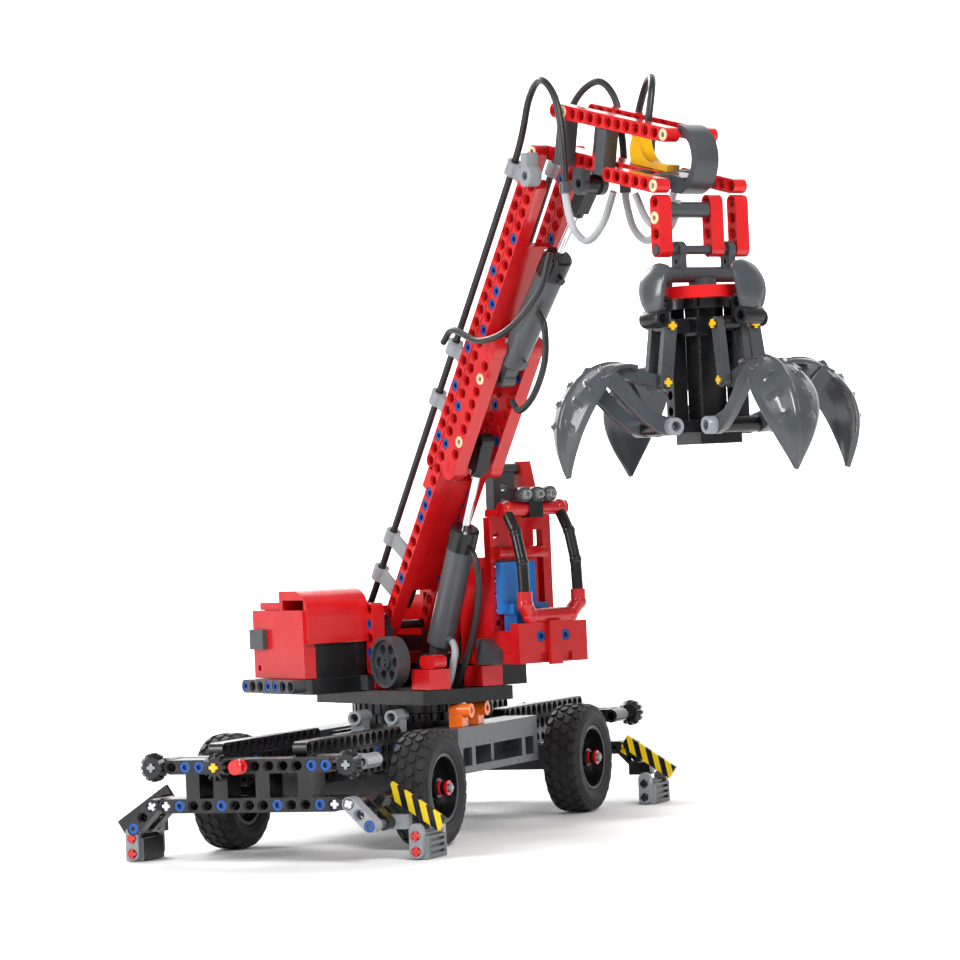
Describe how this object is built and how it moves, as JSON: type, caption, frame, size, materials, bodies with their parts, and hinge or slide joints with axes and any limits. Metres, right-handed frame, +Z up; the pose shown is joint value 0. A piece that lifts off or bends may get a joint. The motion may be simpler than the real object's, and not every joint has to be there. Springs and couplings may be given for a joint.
{
  "type": "model material handler with grab arm",
  "caption": "Wheeled model material handler with outriggers, a slewing house and a two-part arm moved by air cylinders, ending in a four-leaf grab.",
  "frame": {"origin": "middle of the footprint of the whole model at floor level, in the stored pose", "axes": "+X along the chassis towards its far end, +Y to the left side of the chassis, +Z up; the arm points towards -X and -Y"},
  "size_m": [0.4366, 0.4116, 0.3999],
  "materials": {
    "black": "satin moulded plastic",
    "dark_grey": "satin moulded plastic",
    "light_grey": "satin moulded plastic",
    "blue_pin": "glossy moulded plastic",
    "red": "glossy moulded plastic",
    "blue_seat": "glossy moulded plastic",
    "yellow": "glossy moulded plastic",
    "clear": "clear moulded plastic",
    "amber": "clear orange plastic",
    "tyre": "matte rubber with tread",
    "chrome": "polished steel rod, black plastic eye",
    "hose": "smooth rubber tube"
  },
  "bodies": {
    "chassis": {"chassis_rails": "black", "chassis_deck": "black", "side_panels": "dark_grey", "end_beams": "black", "chassis_pins": "blue_pin", "tube_couplers": "light_grey", "turntable_base": "black", "marker_lamps": "amber"},
    "house": {"house_frame": "black", "house_panels": "red", "house_trim": "dark_grey", "house_pins": "blue_pin", "cab_shell": "red", "cab_seat": "blue_seat", "cab_lamps": "clear"},
    "slew_wheel": {"slew_wheel": "dark_grey"},
    "boom": {"boom_beams": "red", "boom_pins": "blue_pin", "hose_clips": "light_grey", "boom_hoses": "hose"},
    "lift_barrel": {"lift_barrel": "dark_grey", "lift_hoses": "hose"},
    "lift_rod": {"lift_rod": "chrome"},
    "stick_barrel": {"stick_barrel": "dark_grey"},
    "stick_rod": {"stick_rod": "chrome"},
    "stick": {"stick_beams": "red", "stick_joint": "black", "stick_guide": "yellow", "stick_hoses": "hose"},
    "grab_yoke": {"grab_yoke": "dark_grey"},
    "grab_head": {"grab_head": "black"},
    "grab_slide": {"grab_slide": "black"},
    "wheel_nl": {"tyre_nl": "tyre", "rim_nl": "black"},
    "leg_nl": {"leg_nl": "black"},
    "foot_nl": {"foot_nl": "light_grey"},
    "gear_nl": {"gear_nl": "black"},
    "wheel_nr": {"tyre_nr": "tyre", "rim_nr": "black"},
    "leg_nr": {"leg_nr": "black"},
    "foot_nr": {"foot_nr": "light_grey"},
    "gear_nr": {"gear_nr": "black"},
    "wheel_fl": {"tyre_fl": "tyre", "rim_fl": "black"},
    "leg_fl": {"leg_fl": "black"},
    "foot_fl": {"foot_fl": "light_grey"},
    "gear_fl": {"gear_fl": "black"},
    "wheel_fr": {"tyre_fr": "tyre", "rim_fr": "black"},
    "leg_fr": {"leg_fr": "black"},
    "foot_fr": {"foot_fr": "light_grey"},
    "gear_fr": {"gear_fr": "black"},
    "claw_front": {"claw_front": "dark_grey"},
    "link_front": {"link_front": "dark_grey"},
    "claw_left": {"claw_left": "dark_grey"},
    "link_left": {"link_left": "dark_grey"},
    "claw_back": {"claw_back": "dark_grey"},
    "link_back": {"link_back": "dark_grey"},
    "claw_right": {"claw_right": "dark_grey"},
    "link_right": {"link_right": "dark_grey"}
  },
  "joints": [
    {"name": "wheel_nl_spin", "type": "hinge", "parent": "chassis", "child": "wheel_nl", "pos_m": [-0.093, 0.16875, 0.0312], "axis": [0, 1, 0], "continuous": true},
    {"name": "wheel_nr_spin", "type": "hinge", "parent": "chassis", "child": "wheel_nr", "pos_m": [-0.093, 0.05375, 0.0312], "axis": [0, 1, 0], "continuous": true},
    {"name": "wheel_fl_spin", "type": "hinge", "parent": "chassis", "child": "wheel_fl", "pos_m": [0.121, 0.16875, 0.0312], "axis": [0, 1, 0], "continuous": true},
    {"name": "wheel_fr_spin", "type": "hinge", "parent": "chassis", "child": "wheel_fr", "pos_m": [0.121, 0.05375, 0.0312], "axis": [0, 1, 0], "continuous": true},
    {"name": "leg_nl_swing", "type": "hinge", "parent": "chassis", "child": "leg_nl", "pos_m": [-0.174, 0.16725, 0.031], "axis": [1, 0, 0], "range_deg": [0, 60]},
    {"name": "foot_nl_level", "type": "hinge", "parent": "leg_nl", "child": "foot_nl", "pos_m": [-0.174, 0.17856, 0.01969], "axis": [1, 0, 0], "range_deg": [-60, 0]},
    {"name": "gear_nl_spin", "type": "hinge", "parent": "chassis", "child": "gear_nl", "pos_m": [-0.186, 0.16675, 0.051], "axis": [1, 0, 0], "range_deg": [-90, 0]},
    {"name": "leg_nr_swing", "type": "hinge", "parent": "chassis", "child": "leg_nr", "pos_m": [-0.174, 0.05525, 0.031], "axis": [-1, 0, 0], "range_deg": [0, 60]},
    {"name": "foot_nr_level", "type": "hinge", "parent": "leg_nr", "child": "foot_nr", "pos_m": [-0.174, 0.04394, 0.01969], "axis": [-1, 0, 0], "range_deg": [-60, 0]},
    {"name": "gear_nr_spin", "type": "hinge", "parent": "chassis", "child": "gear_nr", "pos_m": [-0.186, 0.05575, 0.051], "axis": [-1, 0, 0], "range_deg": [-90, 0]},
    {"name": "leg_fl_swing", "type": "hinge", "parent": "chassis", "child": "leg_fl", "pos_m": [0.202, 0.16725, 0.031], "axis": [1, 0, 0], "range_deg": [0, 60]},
    {"name": "foot_fl_level", "type": "hinge", "parent": "leg_fl", "child": "foot_fl", "pos_m": [0.202, 0.17856, 0.01969], "axis": [1, 0, 0], "range_deg": [-60, 0]},
    {"name": "gear_fl_spin", "type": "hinge", "parent": "chassis", "child": "gear_fl", "pos_m": [0.214, 0.16675, 0.051], "axis": [1, 0, 0], "range_deg": [-90, 0]},
    {"name": "leg_fr_swing", "type": "hinge", "parent": "chassis", "child": "leg_fr", "pos_m": [0.202, 0.05525, 0.031], "axis": [-1, 0, 0], "range_deg": [0, 60]},
    {"name": "foot_fr_level", "type": "hinge", "parent": "leg_fr", "child": "foot_fr", "pos_m": [0.202, 0.04394, 0.01969], "axis": [-1, 0, 0], "range_deg": [-60, 0]},
    {"name": "gear_fr_spin", "type": "hinge", "parent": "chassis", "child": "gear_fr", "pos_m": [0.214, 0.05575, 0.051], "axis": [-1, 0, 0], "range_deg": [-90, 0]},
    {"name": "slew", "type": "hinge", "parent": "chassis", "child": "house", "pos_m": [0.014, 0.11125, 0.064], "axis": [0, 0, 1], "continuous": true},
    {"name": "slew_wheel_spin", "type": "hinge", "parent": "house", "child": "slew_wheel", "pos_m": [-0.02821, 0.1017, 0.0954], "axis": [0.8387, -0.5446, 0], "continuous": true},
    {"name": "boom_raise", "type": "hinge", "parent": "house", "child": "boom", "pos_m": [0.01133, 0.10714, 0.1145], "axis": [-0.8387, 0.5446, 0], "range_deg": [-30, 6]},
    {"name": "lift_tilt", "type": "hinge", "parent": "house", "child": "lift_barrel", "pos_m": [-0.00288, 0.08525, 0.094], "axis": [-0.8387, 0.5446, 0], "range_deg": [-31, 7]},
    {"name": "lift_stroke", "type": "slide", "parent": "lift_barrel", "child": "lift_rod", "axis": [-0.2313, -0.3562, 0.9053], "range_m": [-0.03, 0.012]},
    {"name": "stick_raise", "type": "hinge", "parent": "boom", "child": "stick", "pos_m": [-0.0771, -0.02903, 0.36213], "axis": [-0.8387, 0.5446, 0], "range_deg": [-15, 16]},
    {"name": "stick_cyl_tilt", "type": "hinge", "parent": "boom", "child": "stick_barrel", "pos_m": [-0.04581, 0.01915, 0.24618], "axis": [-0.8387, 0.5446, 0], "range_deg": [-8, 8]},
    {"name": "stick_stroke", "type": "slide", "parent": "stick_barrel", "child": "stick_rod", "axis": [-0.361, -0.5559, 0.7487], "range_m": [-0.02, 0.02]},
    {"name": "grab_swing", "type": "hinge", "parent": "stick", "child": "grab_yoke", "pos_m": [-0.1429, -0.13036, 0.30223], "axis": [-0.8387, 0.5446, 0], "range_deg": [-15, 15]},
    {"name": "grab_turn", "type": "hinge", "parent": "grab_yoke", "child": "grab_head", "pos_m": [-0.1429, -0.13036, 0.28223], "axis": [0, 0, 1], "range_deg": [-90, 90]},
    {"name": "claw_front_close", "type": "hinge", "parent": "grab_head", "child": "claw_front", "pos_m": [-0.16198, -0.15351, 0.21423], "axis": [0.7716, -0.6361, 0], "range_deg": [0, 50]},
    {"name": "claw_left_close", "type": "hinge", "parent": "grab_head", "child": "claw_left", "pos_m": [-0.11975, -0.14944, 0.21423], "axis": [0.6361, 0.7716, 0], "range_deg": [0, 50]},
    {"name": "claw_back_close", "type": "hinge", "parent": "grab_head", "child": "claw_back", "pos_m": [-0.12382, -0.10721, 0.21423], "axis": [-0.7716, 0.6361, 0], "range_deg": [0, 50]},
    {"name": "claw_right_close", "type": "hinge", "parent": "grab_head", "child": "claw_right", "pos_m": [-0.16605, -0.11127, 0.21423], "axis": [-0.6361, -0.7716, 0], "range_deg": [0, 50]},
    {"name": "grab_slide_move", "type": "slide", "parent": "grab_head", "child": "grab_slide", "axis": [0, 0, -1], "range_m": [0, 0.03]},
    {"name": "link_front_turn", "type": "hinge", "parent": "grab_slide", "child": "link_front", "pos_m": [-0.15817, -0.14888, 0.26423], "axis": [-0.7716, 0.6361, 0], "range_deg": [-2, 60]},
    {"name": "link_left_turn", "type": "hinge", "parent": "grab_slide", "child": "link_left", "pos_m": [-0.12438, -0.14562, 0.26423], "axis": [-0.6361, -0.7716, 0], "range_deg": [-2, 60]},
    {"name": "link_back_turn", "type": "hinge", "parent": "grab_slide", "child": "link_back", "pos_m": [-0.12764, -0.11184, 0.26423], "axis": [0.7716, -0.6361, 0], "range_deg": [-2, 60]},
    {"name": "link_right_turn", "type": "hinge", "parent": "grab_slide", "child": "link_right", "pos_m": [-0.16142, -0.11509, 0.26423], "axis": [0.6361, 0.7716, 0], "range_deg": [-2, 60]}
  ],
  "couplings": [
    {"joint": "foot_nl_level", "follows": "leg_nl_swing", "ratio": -1},
    {"joint": "gear_nl_spin", "follows": "leg_nl_swing", "ratio": -1.5},
    {"joint": "leg_nr_swing", "follows": "leg_nl_swing", "ratio": 1},
    {"joint": "foot_nr_level", "follows": "leg_nl_swing", "ratio": -1},
    {"joint": "gear_nr_spin", "follows": "leg_nl_swing", "ratio": -1.5},
    {"joint": "foot_fl_level", "follows": "leg_fl_swing", "ratio": -1},
    {"joint": "gear_fl_spin", "follows": "leg_fl_swing", "ratio": -1.5},
    {"joint": "leg_fr_swing", "follows": "leg_fl_swing", "ratio": 1},
    {"joint": "foot_fr_level", "follows": "leg_fl_swing", "ratio": -1},
    {"joint": "gear_fr_spin", "follows": "leg_fl_swing", "ratio": -1.5},
    {"joint": "slew_wheel_spin", "follows": "slew", "ratio": -3},
    {"joint": "lift_tilt", "follows": "boom_raise", "ratio": 0.99208},
    {"joint": "lift_stroke", "follows": "boom_raise", "m_per_rad": 0.032886},
    {"joint": "stick_cyl_tilt", "follows": "stick_raise", "ratio": 0.037982},
    {"joint": "stick_stroke", "follows": "stick_raise", "m_per_rad": 0.033555},
    {"joint": "claw_left_close", "follows": "claw_front_close", "ratio": 1},
    {"joint": "claw_back_close", "follows": "claw_front_close", "ratio": 1},
    {"joint": "claw_right_close", "follows": "claw_front_close", "ratio": 1},
    {"joint": "grab_slide_move", "follows": "claw_front_close", "m_per_rad": 0.01435},
    {"joint": "link_front_turn", "follows": "claw_front_close", "ratio": 0.82315},
    {"joint": "link_left_turn", "follows": "claw_front_close", "ratio": 0.82315},
    {"joint": "link_back_turn", "follows": "claw_front_close", "ratio": 0.82315},
    {"joint": "link_right_turn", "follows": "claw_front_close", "ratio": 0.82315}
  ]
}
